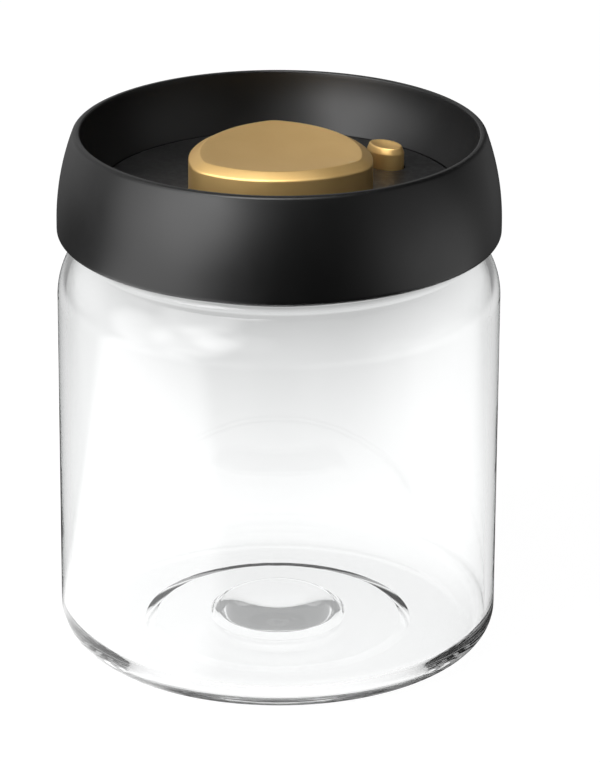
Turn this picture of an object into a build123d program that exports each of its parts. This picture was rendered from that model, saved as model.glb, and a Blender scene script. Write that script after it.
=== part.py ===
from build123d import *
import os
from math import cos, radians, sin, sqrt

# A press-type vacuum food canister: a shouldered glass jar with a deep black lid.
# The lid carries a pump worked by a rounded three-cornered button and a small release valve.
# Millimetres, +Z up, origin at the centre of the jar's foot on the surface it stands on.

# General clearances
running_gap = 0.1            # between pieces that slide on each other
button_gap = 0.3             # around the buttons where they pass through the deck
fit_gap = 0.1                # between fixed pieces that drop into one another
body_gap = 0.3               # between pieces that move towards each other, at the end of the travel
cut_over = 1.0               # overrun of cutting tools
embed = 0.5                  # how far shapes of one moulding run into each other

# Glass jar
body_radius = 52.5
glass_wall = 2.0
corner_radius = 7.5          # outer rounding at the foot
inner_corner_radius = 6.0
floor_thickness = 3.3        # of the flat ring the jar stands on
shoulder_radius = 18.0
neck_inset = 5.1             # how far the neck stands in from the body
neck_turn_radius = 2.0       # hollow rounding between shoulder and neck
neck_shown = 1.86            # straight neck below the lid ring's lower edge
jar_height = 106.9           # top of the neck's rim
recess_radius = 32.2         # where the underside leaves the table
recess_step_run = 2.8        # width of its first slope
recess_step_rise = 0.9
recess_foot_radius = 16.0    # outer end of the slope up to its middle
recess_foot_rise = 1.2
recess_flat_radius = 12.8
recess_rise = 2.8
recess_edge_bend = 0.5       # roundings of the recess, from its edge inwards
recess_step_bend = 0.8
recess_foot_bend = 1.0
recess_flat_bend = 1.5
dome_height = 8.4            # crown of the floor's domed middle, above the table
dome_top_radius = 11.1       # where its top and its side would meet
dome_top_bend = 14.0
dome_foot_radius = 15.7
dome_foot_height = 5.0
dome_foot_bend = 2.0
floor_bend = 20.0            # hollow rounding between the dome's apron and the flat ring

# Lid ring
ring_height = 24.9
ring_wall = 2.2
ring_bulge_height = 22.4     # from the widest level up to the crest
ring_bulge_radius = 64.0     # long curve of the ring's outer side
ring_foot_round = 1.5
rim_width = 1.55             # flat of the crest before it is rounded
crest_round = 1.1
rim_edge_round = 0.35
well_depth = 14.0            # from the crest down to the deck
funnel_run = 4.2             # how far the well's wall comes in from the rim to the deck
funnel_sag = 0.8             # hollow of the well's wall
funnel_wall = 2.2
cavity_rise = 2.9            # the hollow under the ring reaches this far above the deck
cavity_slope = 6.0           # height over which the hollow's outer side leans in
ledge_width = 7.2            # the ledge that carries the deck
ledge_thickness = 2.0

# Deck
deck_thickness = 1.8
deck_edge_chamfer = 0.25
hook_count = 3
hook_width = 6.0
hook_thickness = 1.2
hook_barb = 0.8
hook_barb_height = 1.2

# Inner lid, the plug that stands in the neck
seat_gap = 0.1               # between the neck's rim and the flange above it
flange_thickness = 1.6
plug_depth = 8.6             # from the flange down to the plug's underside
plug_wall = 1.8
plug_floor = 1.8
plug_foot_chamfer = 0.5
collar_wall = 1.8
boss_radius = 2.6
boss_count = 3
rib_width = 1.2
rib_height = 1.0
ring_screw_count = 6
ring_boss_radius = 2.9

# Lid gasket
gasket_depth = 2.4           # from the neck's bore in to the plug's wall
gasket_base = 1.0
gasket_land = 0.6            # lower and upper ribs stay this far from the neck below the lips
groove_foot = 2.2            # height of the lower rib's top above the plug's underside
groove_head = 1.3            # height of the upper rib below the flange
lip_gap = 0.2                # between the lips and the neck's bore
lip_rise = 0.9
lip_tip = 0.5
lip_root = 1.2
lip_foot = 0.7               # first lip above the gasket's foot
lip_pitch = 2.5

# Pump cylinder
bore_radius = 16.5
cylinder_wall = 1.5
cover_recess = 1.5           # hollow under the cylinder's floor
cylinder_floor = 1.5
cylinder_rim = 0.5           # wall above the piston's seal at rest
cylinder_flange = 3.0        # flange width outside the wall
ear_thickness = 1.4
foot_wall = 4.0              # thick rim of the floor, which holds the ring's groove
ring_section = 0.78          # radius of the sealing ring's cord
ring_squeeze = 0.2           # how far the cord stands out of its groove
intake_collar = 1.4
intake_radius = 7.2
intake_step = 0.8
port_radius = 0.9
port_count = 6
port_circle = 2.9

# Intake valve and its cover
valve_radius = 4.2
valve_edge = 0.45
valve_crown = 0.95
valve_stem = 1.05
valve_barb = 0.5             # how far the barb stands out round the stem
valve_barb_height = 0.5
cover_thickness = 0.8
cover_hole = 0.65
cover_inner_circle = 2.6
cover_outer_circle = 5.2
cover_inner_count = 6
cover_outer_count = 12

# Piston
pump_stroke = 6.0
piston_clearance = 0.4       # between piston and floor at full stroke
piston_flange = 0.9
groove_height = 1.8
groove_depth = 1.7
piston_rim = 1.4
piston_web = 1.4
hub_radius = 8.0
hub_wall = 1.3
hub_cap = 1.6
vent_radius = 0.9
vent_circle = 10.7
vent_count = 8
flap_radius = 12.6
flap_thickness = 0.6
flap_bead = 0.35
flap_bead_height = 0.4
seal_lip = 0.55
seal_hollow = 0.9

# Pump button
button_corners = 3
button_reach = 23.4          # from the axis to a rounded corner
button_corner_radius = 7.3
button_side_radius = 28.5
button_turn = 94.5           # direction of the back corner, in degrees
button_rise = 9.9            # above the deck
button_bevel_width = 2.7
button_bevel_height = 1.5
button_wall = 1.6
button_top = 1.9
button_lip = 1.2             # stop lip around the skirt, width and height
button_dish = 0.9
dish_radius = 17.4
button_boss_radius = 4.0
button_rib = 1.2

# Release valve
release_gap = 10.0           # from the pump button's side to the release button's centre
release_long = 5.1
release_short = 3.6
release_turn = -45.0         # direction of its long axis, in degrees
release_stand = 2.7          # what stays above the deck when it is pressed
release_bevel_width = 0.6
release_bevel_height = 1.5
release_rim = 0.4            # flat of the top around its dish
release_dish = 0.6
release_dish_run = 1.2       # how far the dish's side comes in
release_skirt = 0.7          # how far it reaches below the deck
release_stroke = 2.5         # how far it presses in
socket_depth = 4.6
stem_radius = 1.95
stem_head = 1.1              # how far the stem's foot flange stands out
stem_head_height = 0.6
stem_hole_gap = 0.35         # air way round the stem
seal_radius = 4.6
seal_thickness = 1.6
seal_inset = 0.2             # stem's foot above the plug's underside
seat_thickness = 1.5
cup_wall = 1.4
cup_gap = 1.0                # around the seal

# Springs
pump_wire = 0.45
pump_coil_radius = 5.5
pump_turns = 6
release_wire = 0.3
release_coil_radius = 2.65
release_turns = 6
quarters = 4                 # biarcs in a turn

# Screws
small_head_radius = 1.8
small_head_height = 1.2
small_shank = 0.75
small_pilot = 0.8
small_hole = 1.1
small_length = 3.0
ring_head_radius = 2.2
ring_head_height = 1.2
ring_shank = 1.05
ring_pilot = 1.1
ring_hole = 1.35
ring_screw_edge = 1.0        # from the ledge's inner edge to a screw head
ring_screw_length = 6.5
pilot_spare = 0.5            # pilot hole beyond the screw's tip
head_recess = 0.1            # counterbore deeper than the head
slot_width = 0.45
slot_depth_share = 0.55      # cross recess, of the head's height
head_edge_share = 0.25       # bevel round the head, of the head's height
slot_length_share = 1.2      # cross recess, of the head's radius
tip_length = 0.6

# Levels
crest = jar_height + seat_gap + flange_thickness + ledge_thickness + deck_thickness + well_depth
flange_bottom = jar_height + seat_gap
flange_top = flange_bottom + flange_thickness
ledge_top = flange_top + ledge_thickness
deck_top = ledge_top + deck_thickness
ring_bottom = crest - ring_height
plug_bottom = flange_bottom - plug_depth
plug_top = plug_bottom + plug_floor
floor_bottom = plug_bottom + cover_recess
floor_top = floor_bottom + cylinder_floor
piston_bottom = floor_top + piston_clearance + pump_stroke
groove_bottom = piston_bottom + piston_flange
groove_top = groove_bottom + groove_height
piston_top = groove_top + piston_flange
cylinder_top = groove_top + cylinder_rim
web_top = piston_bottom + piston_web
hub_top = cylinder_top + pump_stroke + piston_clearance
lip_top = ledge_top - body_gap
lip_bottom = lip_top - button_lip
ear_top = lip_bottom - pump_stroke - body_gap
collar_top = ear_top - ear_thickness
button_crown = deck_top + button_rise
button_ceiling = button_crown - button_dish - button_top
seat_bottom = plug_bottom + seal_inset + stem_head_height + seal_thickness + running_gap
seat_top = seat_bottom + seat_thickness
release_crown = deck_top + release_stroke + release_stand
release_bottom = ledge_top - release_skirt

# Radii that follow from the jar inwards, and the height of its shoulder
neck_radius = body_radius - neck_inset
neck_bore = neck_radius - glass_wall
shoulder_middle = body_radius - shoulder_radius
neck_turn_middle = neck_radius + neck_turn_radius
shoulder_reach = shoulder_radius + neck_turn_radius
shoulder_rise = sqrt(shoulder_reach**2 - (neck_turn_middle - shoulder_middle) ** 2)
shoulder_height = ring_bottom - neck_shown - shoulder_rise
ring_radius = body_radius
ring_bulge_centre = ring_radius - ring_bulge_radius
crest_radius = ring_bulge_centre + sqrt(ring_bulge_radius**2 - ring_bulge_height**2)
rim_radius = crest_radius - rim_width
pocket_radius = rim_radius - funnel_run
deck_radius = pocket_radius - button_gap
ledge_radius = deck_radius - ledge_width
plug_radius = neck_bore - gasket_depth
rib_radius = neck_bore - gasket_land - lip_gap
cylinder_radius = bore_radius + cylinder_wall
collar_radius = cylinder_radius + button_gap
flange_radius = ring_radius - ring_wall - button_gap
ear_circle = button_reach + button_lip + body_gap + small_head_radius
ring_screw_circle = ledge_radius + ring_screw_edge + ring_head_radius
piston_radius = bore_radius - button_gap
corner_circle = button_reach - button_corner_radius
button_sector = 360 / button_corners
side_half = corner_circle * sin(radians(button_sector / 2))
side_middle = corner_circle * cos(radians(button_sector / 2))
side_centre = sqrt((button_side_radius - button_corner_radius) ** 2 - side_half**2) - side_middle
side_reach = button_side_radius - side_centre
release_distance = side_reach + release_gap
release_angle = button_turn - button_sector / 2
release_place = Rot(0, 0, release_angle) * Pos(release_distance, 0, 0)


def turned(edges):
    """Solid of revolution about the jar's axis, from a closed outline of radius and height."""
    return revolve(Plane.XZ * make_face(edges), Axis.Z)


def turned_polygon(points):
    """Solid of revolution from the corners of its section."""
    return turned(Polyline(*points, close=True).edges())


def tube(inner, outer, bottom, top):
    """Plain ring between two radii and two heights."""
    return turned_polygon([(inner, bottom), (outer, bottom), (outer, top), (inner, top)])


def disc(radius, bottom, top):
    """Plain round plate between two heights."""
    return Pos(0, 0, bottom) * extrude(Circle(radius), top - bottom)


def around(radius, count, start, piece):
    """Copies of a piece, evenly spaced on a circle about the axis."""
    return [Rot(0, 0, start + 360 * k / count) * Pos(radius, 0, 0) * piece for k in range(count)]


def on_circle(centre, radius, angle):
    """Point on a circle, the angle in degrees."""
    return (centre[0] + radius * cos(radians(angle)), centre[1] + radius * sin(radians(angle)))


def arc(centre, radius, start, end):
    """Arc of a circle between two angles in degrees."""
    return ThreePointArc(
        on_circle(centre, radius, start),
        on_circle(centre, radius, (start + end) / 2),
        on_circle(centre, radius, end),
    )


def softened(section, bends):
    """Face with some corners rounded, each given as a point and a radius."""
    for corner, bend in bends:
        section = fillet(section.vertices().sort_by_distance(corner)[0], bend)
    return section


def glass_jar():
    """Jar with a recessed foot, a domed floor, a rounded shoulder and a short straight neck."""
    inner_radius = body_radius - glass_wall
    shoulder_centre = (shoulder_middle, shoulder_height)
    turn_centre = (neck_turn_middle, shoulder_height + shoulder_rise)
    slope = Vector(neck_turn_middle - shoulder_middle, shoulder_rise).get_angle(Vector(1, 0))
    rim_round = glass_wall / 2
    rim_level = jar_height - rim_round
    foot_centre = (body_radius - corner_radius, corner_radius)
    heel = inner_radius - inner_corner_radius
    heel_centre = (heel, floor_thickness + inner_corner_radius)
    recess_edge = (recess_radius, 0)
    recess_step = (recess_radius - recess_step_run, recess_step_rise)
    recess_foot = (recess_foot_radius, recess_foot_rise)
    recess_flat = (recess_flat_radius, recess_rise)
    floor_turn = (recess_radius, floor_thickness)
    dome_foot = (dome_foot_radius, dome_foot_height)
    dome_top = (dome_top_radius, dome_height)
    lines = [
        Polyline((0, recess_rise), recess_flat, recess_foot, recess_step, recess_edge),
        Line(recess_edge, (foot_centre[0], 0)),
        arc(foot_centre, corner_radius, -90, 0),
        Line((body_radius, corner_radius), (body_radius, shoulder_height)),
        arc(shoulder_centre, shoulder_radius, 0, slope),
        arc(turn_centre, neck_turn_radius, 180 + slope, 180),
        Line((neck_radius, turn_centre[1]), (neck_radius, rim_level)),
        arc((neck_radius - rim_round, rim_level), rim_round, 0, 180),
        Line((neck_bore, rim_level), (neck_bore, turn_centre[1])),
        arc(turn_centre, neck_turn_radius + glass_wall, 180, 180 + slope),
        arc(shoulder_centre, shoulder_radius - glass_wall, slope, 0),
        Line((inner_radius, shoulder_height), (inner_radius, heel_centre[1])),
        arc(heel_centre, inner_corner_radius, 0, -90),
        Polyline((heel, floor_thickness), floor_turn, dome_foot, dome_top, (0, dome_height)),
        Line((0, dome_height), (0, recess_rise)),
    ]
    section = make_face([edge for line in lines for edge in line.edges()])
    bends = [
        (recess_flat, recess_flat_bend),
        (recess_foot, recess_foot_bend),
        (recess_step, recess_step_bend),
        (recess_edge, recess_edge_bend),
        (floor_turn, floor_bend),
        (dome_foot, dome_foot_bend),
        (dome_top, dome_top_bend),
    ]
    return revolve(Plane.XZ * softened(section, bends), Axis.Z)


def lid_ring():
    """Outer casing: long curved side, rounded crest, hollow well wall and the ledge for the deck."""
    bulge_level = crest - ring_bulge_height
    bulge_centre = (ring_bulge_centre, bulge_level)
    tilt = Vector(crest_radius - ring_bulge_centre, ring_bulge_height).get_angle(Vector(1, 0))
    wall_inside = ring_radius - ring_wall
    back = pocket_radius + funnel_wall
    cavity_top = deck_top + cavity_rise
    lean = cavity_rise * funnel_run / well_depth
    well_middle = Vector((rim_radius + pocket_radius) / 2, (crest + deck_top) / 2)
    well_normal = Vector(well_depth, -funnel_run).normalized()
    well_point = well_middle + well_normal * funnel_sag
    foot_centre = (ring_radius - ring_foot_round, ring_bottom + ring_foot_round)
    edges = [
        arc(foot_centre, ring_foot_round, -90, 0),
        Line((ring_radius, foot_centre[1]), (ring_radius, bulge_level)),
        arc(bulge_centre, ring_bulge_radius, 0, tilt),
        Line((crest_radius, crest), (rim_radius, crest)),
        ThreePointArc((rim_radius, crest), (well_point.X, well_point.Y), (pocket_radius, deck_top)),
        Polyline(
            (pocket_radius, deck_top),
            (pocket_radius, ledge_top),
            (ledge_radius, ledge_top),
            (ledge_radius, flange_top),
            (back, flange_top),
            (back, deck_top),
            (back + lean, cavity_top),
            (wall_inside - lean, cavity_top),
            (wall_inside, cavity_top - cavity_slope),
            (wall_inside, ring_bottom),
            (foot_centre[0], ring_bottom),
        ),
    ]
    section = make_face([edge for line in edges for edge in line.edges()])
    bends = [((crest_radius, crest), crest_round), ((rim_radius, crest), rim_edge_round)]
    ring = revolve(Plane.XZ * softened(section, bends), Axis.Z)
    holes = disc(ring_hole, flange_top - cut_over, ledge_top + cut_over)
    sink_floor = ledge_top - ring_head_height - head_recess
    sinks = disc(ring_head_radius + button_gap, sink_floor, ledge_top + cut_over)
    return ring - around(ring_screw_circle, ring_screw_count, ring_screw_start(), holes + sinks)


def ring_screw_start():
    """First direction of the ring's screws, half a pitch away from the release valve."""
    return release_angle - 180 / ring_screw_count


def lid_deck():
    """Round cover plate of the well, with both button openings and three snap hooks below."""
    plate = disc(deck_radius, ledge_top, deck_top)
    plate = chamfer(plate.edges().filter_by(GeomType.CIRCLE).group_by(Axis.Z)[-1], deck_edge_chamfer)
    plate -= Pos(0, 0, ledge_top - cut_over) * extrude(trilobe(-button_gap), deck_thickness + 2 * cut_over)
    opening = oval(-button_gap, ledge_top - cut_over, deck_top + cut_over)
    plate -= release_place * opening
    leg = ledge_radius - button_gap
    barb_top = flange_top - body_gap
    section = [
        (leg - hook_thickness, ledge_top),
        (leg, ledge_top),
        (leg, barb_top),
        (leg + hook_barb, barb_top),
        (leg, barb_top - hook_barb_height),
        (leg - hook_thickness, barb_top - hook_barb_height),
    ]
    profile = Plane.XZ * make_face(Polyline(*section, close=True).edges())
    hook = extrude(profile, hook_width / 2, both=True)
    return plate + around(0, hook_count, button_turn, hook)


def trilobe(inset):
    """Outline of the pump button, three side arcs and three corner arcs, drawn in by the inset."""
    corner = button_corner_radius - inset
    side = button_side_radius - inset
    edges = []
    for k in range(button_corners):
        turn = button_turn + button_sector * k
        side_turn = turn + button_sector / 2
        here = Vector(corner_circle, 0).rotate(Axis.Z, turn)
        next_one = Vector(corner_circle, 0).rotate(Axis.Z, turn + button_sector)
        behind = Vector(-side_centre, 0).rotate(Axis.Z, side_turn)
        before = Vector(-side_centre, 0).rotate(Axis.Z, side_turn - button_sector)
        start = here + (here - before).normalized() * corner
        end = here + (here - behind).normalized() * corner
        tip = Vector(corner_circle + corner, 0).rotate(Axis.Z, turn)
        middle = Vector(side - side_centre, 0).rotate(Axis.Z, side_turn)
        next_start = next_one + (next_one - behind).normalized() * corner
        edges.append(ThreePointArc(start, tip, end))
        edges.append(ThreePointArc(end, middle, next_start))
    return make_face(edges)


def oval(inset, bottom, top):
    """Oval block of the release button's outline, drawn in by the inset."""
    outline = Ellipse(release_long - inset, release_short - inset)
    turned_outline = Rot(0, 0, release_turn - release_angle) * outline
    return Pos(0, 0, bottom) * extrude(turned_outline, top - bottom)


def dish(radius, depth, level):
    """Ball that hollows a top face at this level."""
    ball = (radius**2 + depth**2) / (2 * depth)
    return Pos(0, 0, level - depth + ball) * Sphere(ball)


def inner_lid():
    """Plug with its flange, gasket ribs, pump collar, screw bosses, ribs and release valve cup."""
    inside = plug_radius - plug_wall
    section = [
        (collar_radius, plug_bottom),
        (plug_radius - plug_foot_chamfer, plug_bottom),
        (plug_radius, plug_bottom + plug_foot_chamfer),
        (plug_radius, plug_bottom + groove_foot / 2),
        (rib_radius, plug_bottom + groove_foot / 2),
        (rib_radius, plug_bottom + groove_foot),
        (plug_radius, plug_bottom + groove_foot),
        (plug_radius, flange_bottom - groove_head),
        (rib_radius, flange_bottom - groove_head),
        (rib_radius, flange_bottom),
        (flange_radius, flange_bottom),
        (flange_radius, flange_top),
        (inside, flange_top),
        (inside, plug_top),
        (collar_radius + collar_wall, plug_top),
        (collar_radius + collar_wall, collar_top),
        (collar_radius, collar_top),
    ]
    plug = turned_polygon(section)
    rib_run = inside - collar_radius
    rib = Pos(collar_radius + rib_run / 2, 0, plug_top - plug_floor / 2)
    rib = rib * Box(rib_run + plug_wall, rib_width, plug_floor + 2 * rib_height)
    bottom_trim = disc(plug_radius, plug_bottom - rib_height - cut_over, plug_bottom)
    bore = disc(collar_radius, plug_bottom - cut_over, collar_top + cut_over)
    plug += around(0, ring_screw_count, ring_screw_start(), rib)
    plug += around(ear_circle, boss_count, ring_screw_start(), disc(boss_radius, plug_bottom, collar_top))
    tall_boss = disc(ring_boss_radius, plug_bottom, flange_top)
    plug += around(ring_screw_circle, ring_screw_count, ring_screw_start(), tall_boss)
    cup_radius = seal_radius + cup_gap
    plug += release_place * disc(cup_radius + cup_wall, plug_bottom, seat_top)
    plug -= release_place * disc(cup_radius, plug_bottom - cut_over, seat_bottom)
    plug -= release_place * disc(stem_radius + stem_hole_gap, plug_bottom, seat_top + cut_over)
    plug -= [bottom_trim, bore]
    small_depth = small_length - ear_thickness + pilot_spare
    small_hole_cut = disc(small_pilot, collar_top - small_depth, collar_top + cut_over)
    plug -= around(ear_circle, boss_count, ring_screw_start(), small_hole_cut)
    ring_depth = ring_screw_reach() + pilot_spare
    ring_hole_cut = disc(ring_pilot, flange_top - ring_depth, flange_top + cut_over)
    plug -= around(ring_screw_circle, ring_screw_count, ring_screw_start(), ring_hole_cut)
    return plug


def ring_screw_reach():
    """Length of a ring screw below the ledge, in the inner lid's boss."""
    return ring_screw_length - (ledge_thickness - ring_head_height - head_recess)


def lid_gasket():
    """Silicone sleeve on the plug with two upturned lips that seal in the neck."""
    foot = plug_bottom + groove_foot + fit_gap
    head = flange_bottom - groove_head - fit_gap
    base = plug_radius + gasket_base
    tip = neck_bore - lip_gap
    section = [(plug_radius, foot), (base, foot)]
    for k in range(2):
        root = foot + lip_foot + k * lip_pitch
        section += [
            (base, root),
            (tip, root + lip_rise),
            (tip, root + lip_rise + lip_tip),
            (base, root + lip_root),
        ]
    section += [(base, head), (plug_radius, head)]
    return turned_polygon(section)


def pump_cylinder():
    """Pump barrel with a ported floor, a flange with three ears and a groove for its ring."""
    recess = cylinder_radius - foot_wall
    wall = tube(bore_radius, cylinder_radius, floor_top - embed, cylinder_top)
    floor = disc(cylinder_radius, plug_bottom, floor_top)
    floor -= disc(recess, plug_bottom - cut_over, floor_bottom)
    collar_outside = intake_radius + intake_collar
    floor += tube(intake_radius, collar_outside, plug_bottom, floor_bottom + embed)
    step_bottom = plug_bottom + cover_thickness + fit_gap
    floor += tube(intake_radius - intake_step, collar_outside, step_bottom, floor_bottom + embed)
    floor -= disc(valve_stem + fit_gap, plug_bottom, floor_top + cut_over)
    floor -= around(port_circle, port_count, 0, disc(port_radius, plug_bottom, floor_top + cut_over))
    outline = Circle(cylinder_radius + cylinder_flange)
    arm = Pos(ear_circle / 2, 0) * Rectangle(ear_circle, 2 * boss_radius)
    outline += around(0, boss_count, ring_screw_start(), arm)
    outline += around(ear_circle, boss_count, ring_screw_start(), Circle(boss_radius))
    outline -= Circle((bore_radius + cylinder_radius) / 2)
    outline -= around(ear_circle, boss_count, ring_screw_start(), Circle(small_hole))
    flange = Pos(0, 0, collar_top) * extrude(outline, ear_thickness)
    return wall + floor + flange - ring_groove()


def ring_groove():
    """Space of the sealing ring's groove in the cylinder's foot."""
    middle = (plug_bottom + floor_top) / 2
    bottom = cylinder_radius - 2 * ring_section + ring_squeeze - fit_gap
    half_width = ring_section + fit_gap
    return tube(bottom, cylinder_radius + cut_over, middle - half_width, middle + half_width)


def cylinder_ring():
    """Sealing ring between the pump cylinder and the inner lid's bore."""
    middle = (plug_bottom + floor_top) / 2
    cord_centre = cylinder_radius + ring_squeeze - ring_section
    return Pos(0, 0, middle) * Torus(cord_centre, ring_section)


def intake_valve():
    """Silicone umbrella valve: a skirt over the floor's ports and a barbed stem through its centre."""
    stem_foot = floor_bottom - valve_barb_height
    section = [
        (0, stem_foot),
        (valve_stem, stem_foot),
        (valve_stem + valve_barb, floor_bottom),
        (valve_stem, floor_bottom),
        (valve_stem, floor_top),
        (valve_radius, floor_top),
        (valve_radius, floor_top + valve_edge),
        (valve_stem, floor_top + valve_crown),
        (0, floor_top + valve_crown),
    ]
    return turned_polygon(section)


def intake_cover():
    """Perforated disc under the intake that keeps crumbs out of the valve."""
    hole = disc(cover_hole, plug_bottom - cut_over, plug_bottom + cover_thickness + cut_over)
    cover = disc(intake_radius - fit_gap, plug_bottom, plug_bottom + cover_thickness)
    cover -= around(cover_inner_circle, cover_inner_count, 0, hole)
    cover -= around(cover_outer_circle, cover_outer_count, 0, hole)
    return cover


def pump_piston():
    """Piston with a seal groove, vented web and a hollow hub that the spring stands in."""
    groove_radius = piston_radius - groove_depth
    rim_inside = groove_radius - piston_rim
    rim = tube(rim_inside, piston_radius, piston_bottom, piston_top)
    rim -= tube(groove_radius, piston_radius + cut_over, groove_bottom, groove_top)
    web = tube(hub_radius - hub_wall, rim_inside + embed, piston_bottom, web_top)
    hub = tube(hub_radius - hub_wall, hub_radius, piston_bottom, hub_top)
    hub += disc(hub_radius, hub_top - hub_cap, hub_top)
    bead_bottom = web_top + flap_thickness + running_gap
    bead_top = bead_bottom + flap_bead_height
    bead = tube(hub_radius - embed, hub_radius + flap_bead, bead_bottom, bead_top)
    piston = rim + web + hub + bead
    piston -= disc(small_hole, hub_top - hub_cap - cut_over, hub_top + cut_over)
    vent = disc(vent_radius, piston_bottom - cut_over, web_top + cut_over)
    return piston - around(vent_circle, vent_count, 0, vent)


def piston_seal():
    """Lipped ring in the piston's groove, hollow on the pressure side."""
    foot = groove_bottom + fit_gap
    head = groove_top - fit_gap
    inside = piston_radius - groove_depth + fit_gap
    outside = bore_radius - running_gap
    hollow_inside = inside + seal_lip
    hollow_outside = outside - seal_lip
    section = [
        (inside, foot),
        (hollow_inside, foot),
        ((hollow_inside + hollow_outside) / 2, foot + seal_hollow),
        (hollow_outside, foot),
        (outside, foot),
        (outside, head),
        (inside, head),
    ]
    return turned_polygon(section)


def exhaust_valve():
    """Flat silicone flap round the hub, over the piston's vents."""
    return tube(hub_radius + fit_gap / 2, flap_radius, web_top, web_top + flap_thickness)


def pump_button():
    """Bevelled three-cornered cap with a dished top, stop lip, ribs and a screw boss."""
    shoulder = button_crown - button_bevel_height
    side = Pos(0, 0, lip_bottom) * extrude(trilobe(0), shoulder - lip_bottom)
    bevel_foot = Pos(0, 0, shoulder) * trilobe(0)
    bevel_head = Pos(0, 0, button_crown) * trilobe(button_bevel_width)
    cap = side + loft([bevel_foot, bevel_head], ruled=True)
    cap += Pos(0, 0, lip_bottom) * extrude(trilobe(-button_lip), button_lip)
    cap -= dish(dish_radius, button_dish, button_crown)
    hollow = trilobe(button_wall)
    cap -= Pos(0, 0, lip_bottom - cut_over) * extrude(hollow, button_ceiling - lip_bottom + cut_over)
    rib_top = button_ceiling + embed
    inside = Pos(0, 0, hub_top) * extrude(trilobe(button_wall - embed), rib_top - hub_top)
    rib = Box(button_reach, button_rib, rib_top - hub_top, align=(Align.MIN, Align.CENTER, Align.MIN))
    ribs = Part() + around(0, button_corners, button_turn, Pos(0, 0, hub_top) * rib)
    cap += ribs & inside
    cap += disc(button_boss_radius, hub_top, rib_top)
    return cap - disc(small_pilot, hub_top - cut_over, button_ceiling + pilot_spare)


def release_button():
    """Small oval button with a bevelled, dished top and a socket for its stem."""
    shoulder = release_crown - release_bevel_height
    body = oval(0, release_bottom, shoulder)
    outline = Rot(0, 0, release_turn - release_angle)
    bevel_foot = Pos(0, 0, shoulder) * outline * Ellipse(release_long, release_short)
    top_long = release_long - release_bevel_width
    top_short = release_short - release_bevel_width
    bevel_head = Pos(0, 0, release_crown) * outline * Ellipse(top_long, top_short)
    body += loft([bevel_foot, bevel_head])
    mouth_long = top_long - release_rim
    mouth_short = top_short - release_rim
    mouth = Pos(0, 0, release_crown) * outline * Ellipse(mouth_long, mouth_short)
    dish_floor = Ellipse(mouth_long - release_dish_run, mouth_short - release_dish_run)
    body -= loft([Pos(0, 0, release_crown - release_dish) * outline * dish_floor, mouth])
    body -= disc(stem_radius + fit_gap / 2, release_bottom - cut_over, release_bottom + socket_depth)
    return release_place * body


def release_stem():
    """Stem pressed into the release button, with the foot flange that carries the seal."""
    foot = plug_bottom + seal_inset
    stem = disc(stem_radius, foot, release_bottom + socket_depth - fit_gap)
    stem += disc(stem_radius + stem_head, foot, foot + stem_head_height)
    return release_place * stem


def release_seal():
    """Silicone disc that closes the air way under its seat."""
    foot = plug_bottom + seal_inset + stem_head_height
    return release_place * tube(stem_radius + fit_gap / 2, seal_radius, foot, foot + seal_thickness)


def coil(radius, wire, bottom, top, turns):
    """Coil spring swept along a helix made of tangent arcs, two for each quarter turn."""
    rise = (top - bottom - 2 * wire) / (turns * quarters)
    step = 360 / quarters
    climb = rise * 180 / (radians(180) * radius * step)
    points = []
    for k in range(turns * quarters + 1):
        place = Vector(radius, 0, bottom + wire + k * rise).rotate(Axis.Z, k * step)
        heading = Vector(0, 1, climb).rotate(Axis.Z, k * step).normalized()
        points.append((place, heading))
    edges = []
    for (start, leave), (end, arrive) in zip(points, points[1:]):
        chord = end - start
        both = leave + arrive
        bend = 2 * (1 - leave.dot(arrive))
        lever = (sqrt(chord.dot(both) ** 2 + bend * chord.dot(chord)) - chord.dot(both)) / bend
        joint = (start + leave * lever + end - arrive * lever) / 2
        first = TangentArc(start, joint, tangent=leave)
        edges.append(first)
        edges.append(TangentArc(joint, end, tangent=first % 1))
    section = Plane(origin=points[0][0], z_dir=points[0][1]) * Circle(wire)
    print("coil of", turns, "turns: gap between turns", round(rise * quarters - 2 * wire, 2), "mm")
    return sweep(section, path=Wire([edge for line in edges for edge in line.edges()]))


def pump_spring():
    """Return spring between the cylinder's floor and the piston's hub."""
    return coil(pump_coil_radius, pump_wire, floor_top, hub_top - hub_cap, pump_turns)


def release_spring():
    """Return spring between the valve seat and the release button."""
    return release_place * coil(release_coil_radius, release_wire, seat_top, release_bottom, release_turns)


def screw(head_radius, head_height, shank, length, seat):
    """Pan head screw pointing down, its head's underside at the seat level."""
    top = seat + head_height
    root = seat + head_height * head_edge_share
    head = disc(head_radius, seat, top)
    head = chamfer(head.edges().group_by(Axis.Z)[-1], head_height * head_edge_share)
    slot = Box(head_radius * slot_length_share, slot_width, 2 * head_height * slot_depth_share)
    head -= Pos(0, 0, top) * slot
    head -= Pos(0, 0, top) * Rot(0, 0, 90) * slot
    tip = seat - length
    cone = tip + tip_length
    section = [(0, tip), (shank / 2, tip), (shank, cone), (shank, root), (0, root)]
    return head + turned_polygon(section)


def lid_screws():
    """Screws that hold the ring down on the inner lid, under the deck."""
    seat = ledge_top - ring_head_height - head_recess
    one = screw(ring_head_radius, ring_head_height, ring_shank, ring_screw_length, seat)
    return Compound(children=around(ring_screw_circle, ring_screw_count, ring_screw_start(), one))


def cylinder_screws():
    """Screws that hold the pump cylinder's ears on the inner lid."""
    one = screw(small_head_radius, small_head_height, small_shank, small_length, ear_top)
    return Compound(children=around(ear_circle, boss_count, ring_screw_start(), one))


def button_screw():
    """Screw from the hub up into the pump button's boss."""
    length = hub_cap + button_ceiling - hub_top
    one = screw(small_head_radius, small_head_height, small_shank, length, 0)
    return Pos(0, 0, hub_top - hub_cap) * Rot(180, 0, 0) * one


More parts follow.
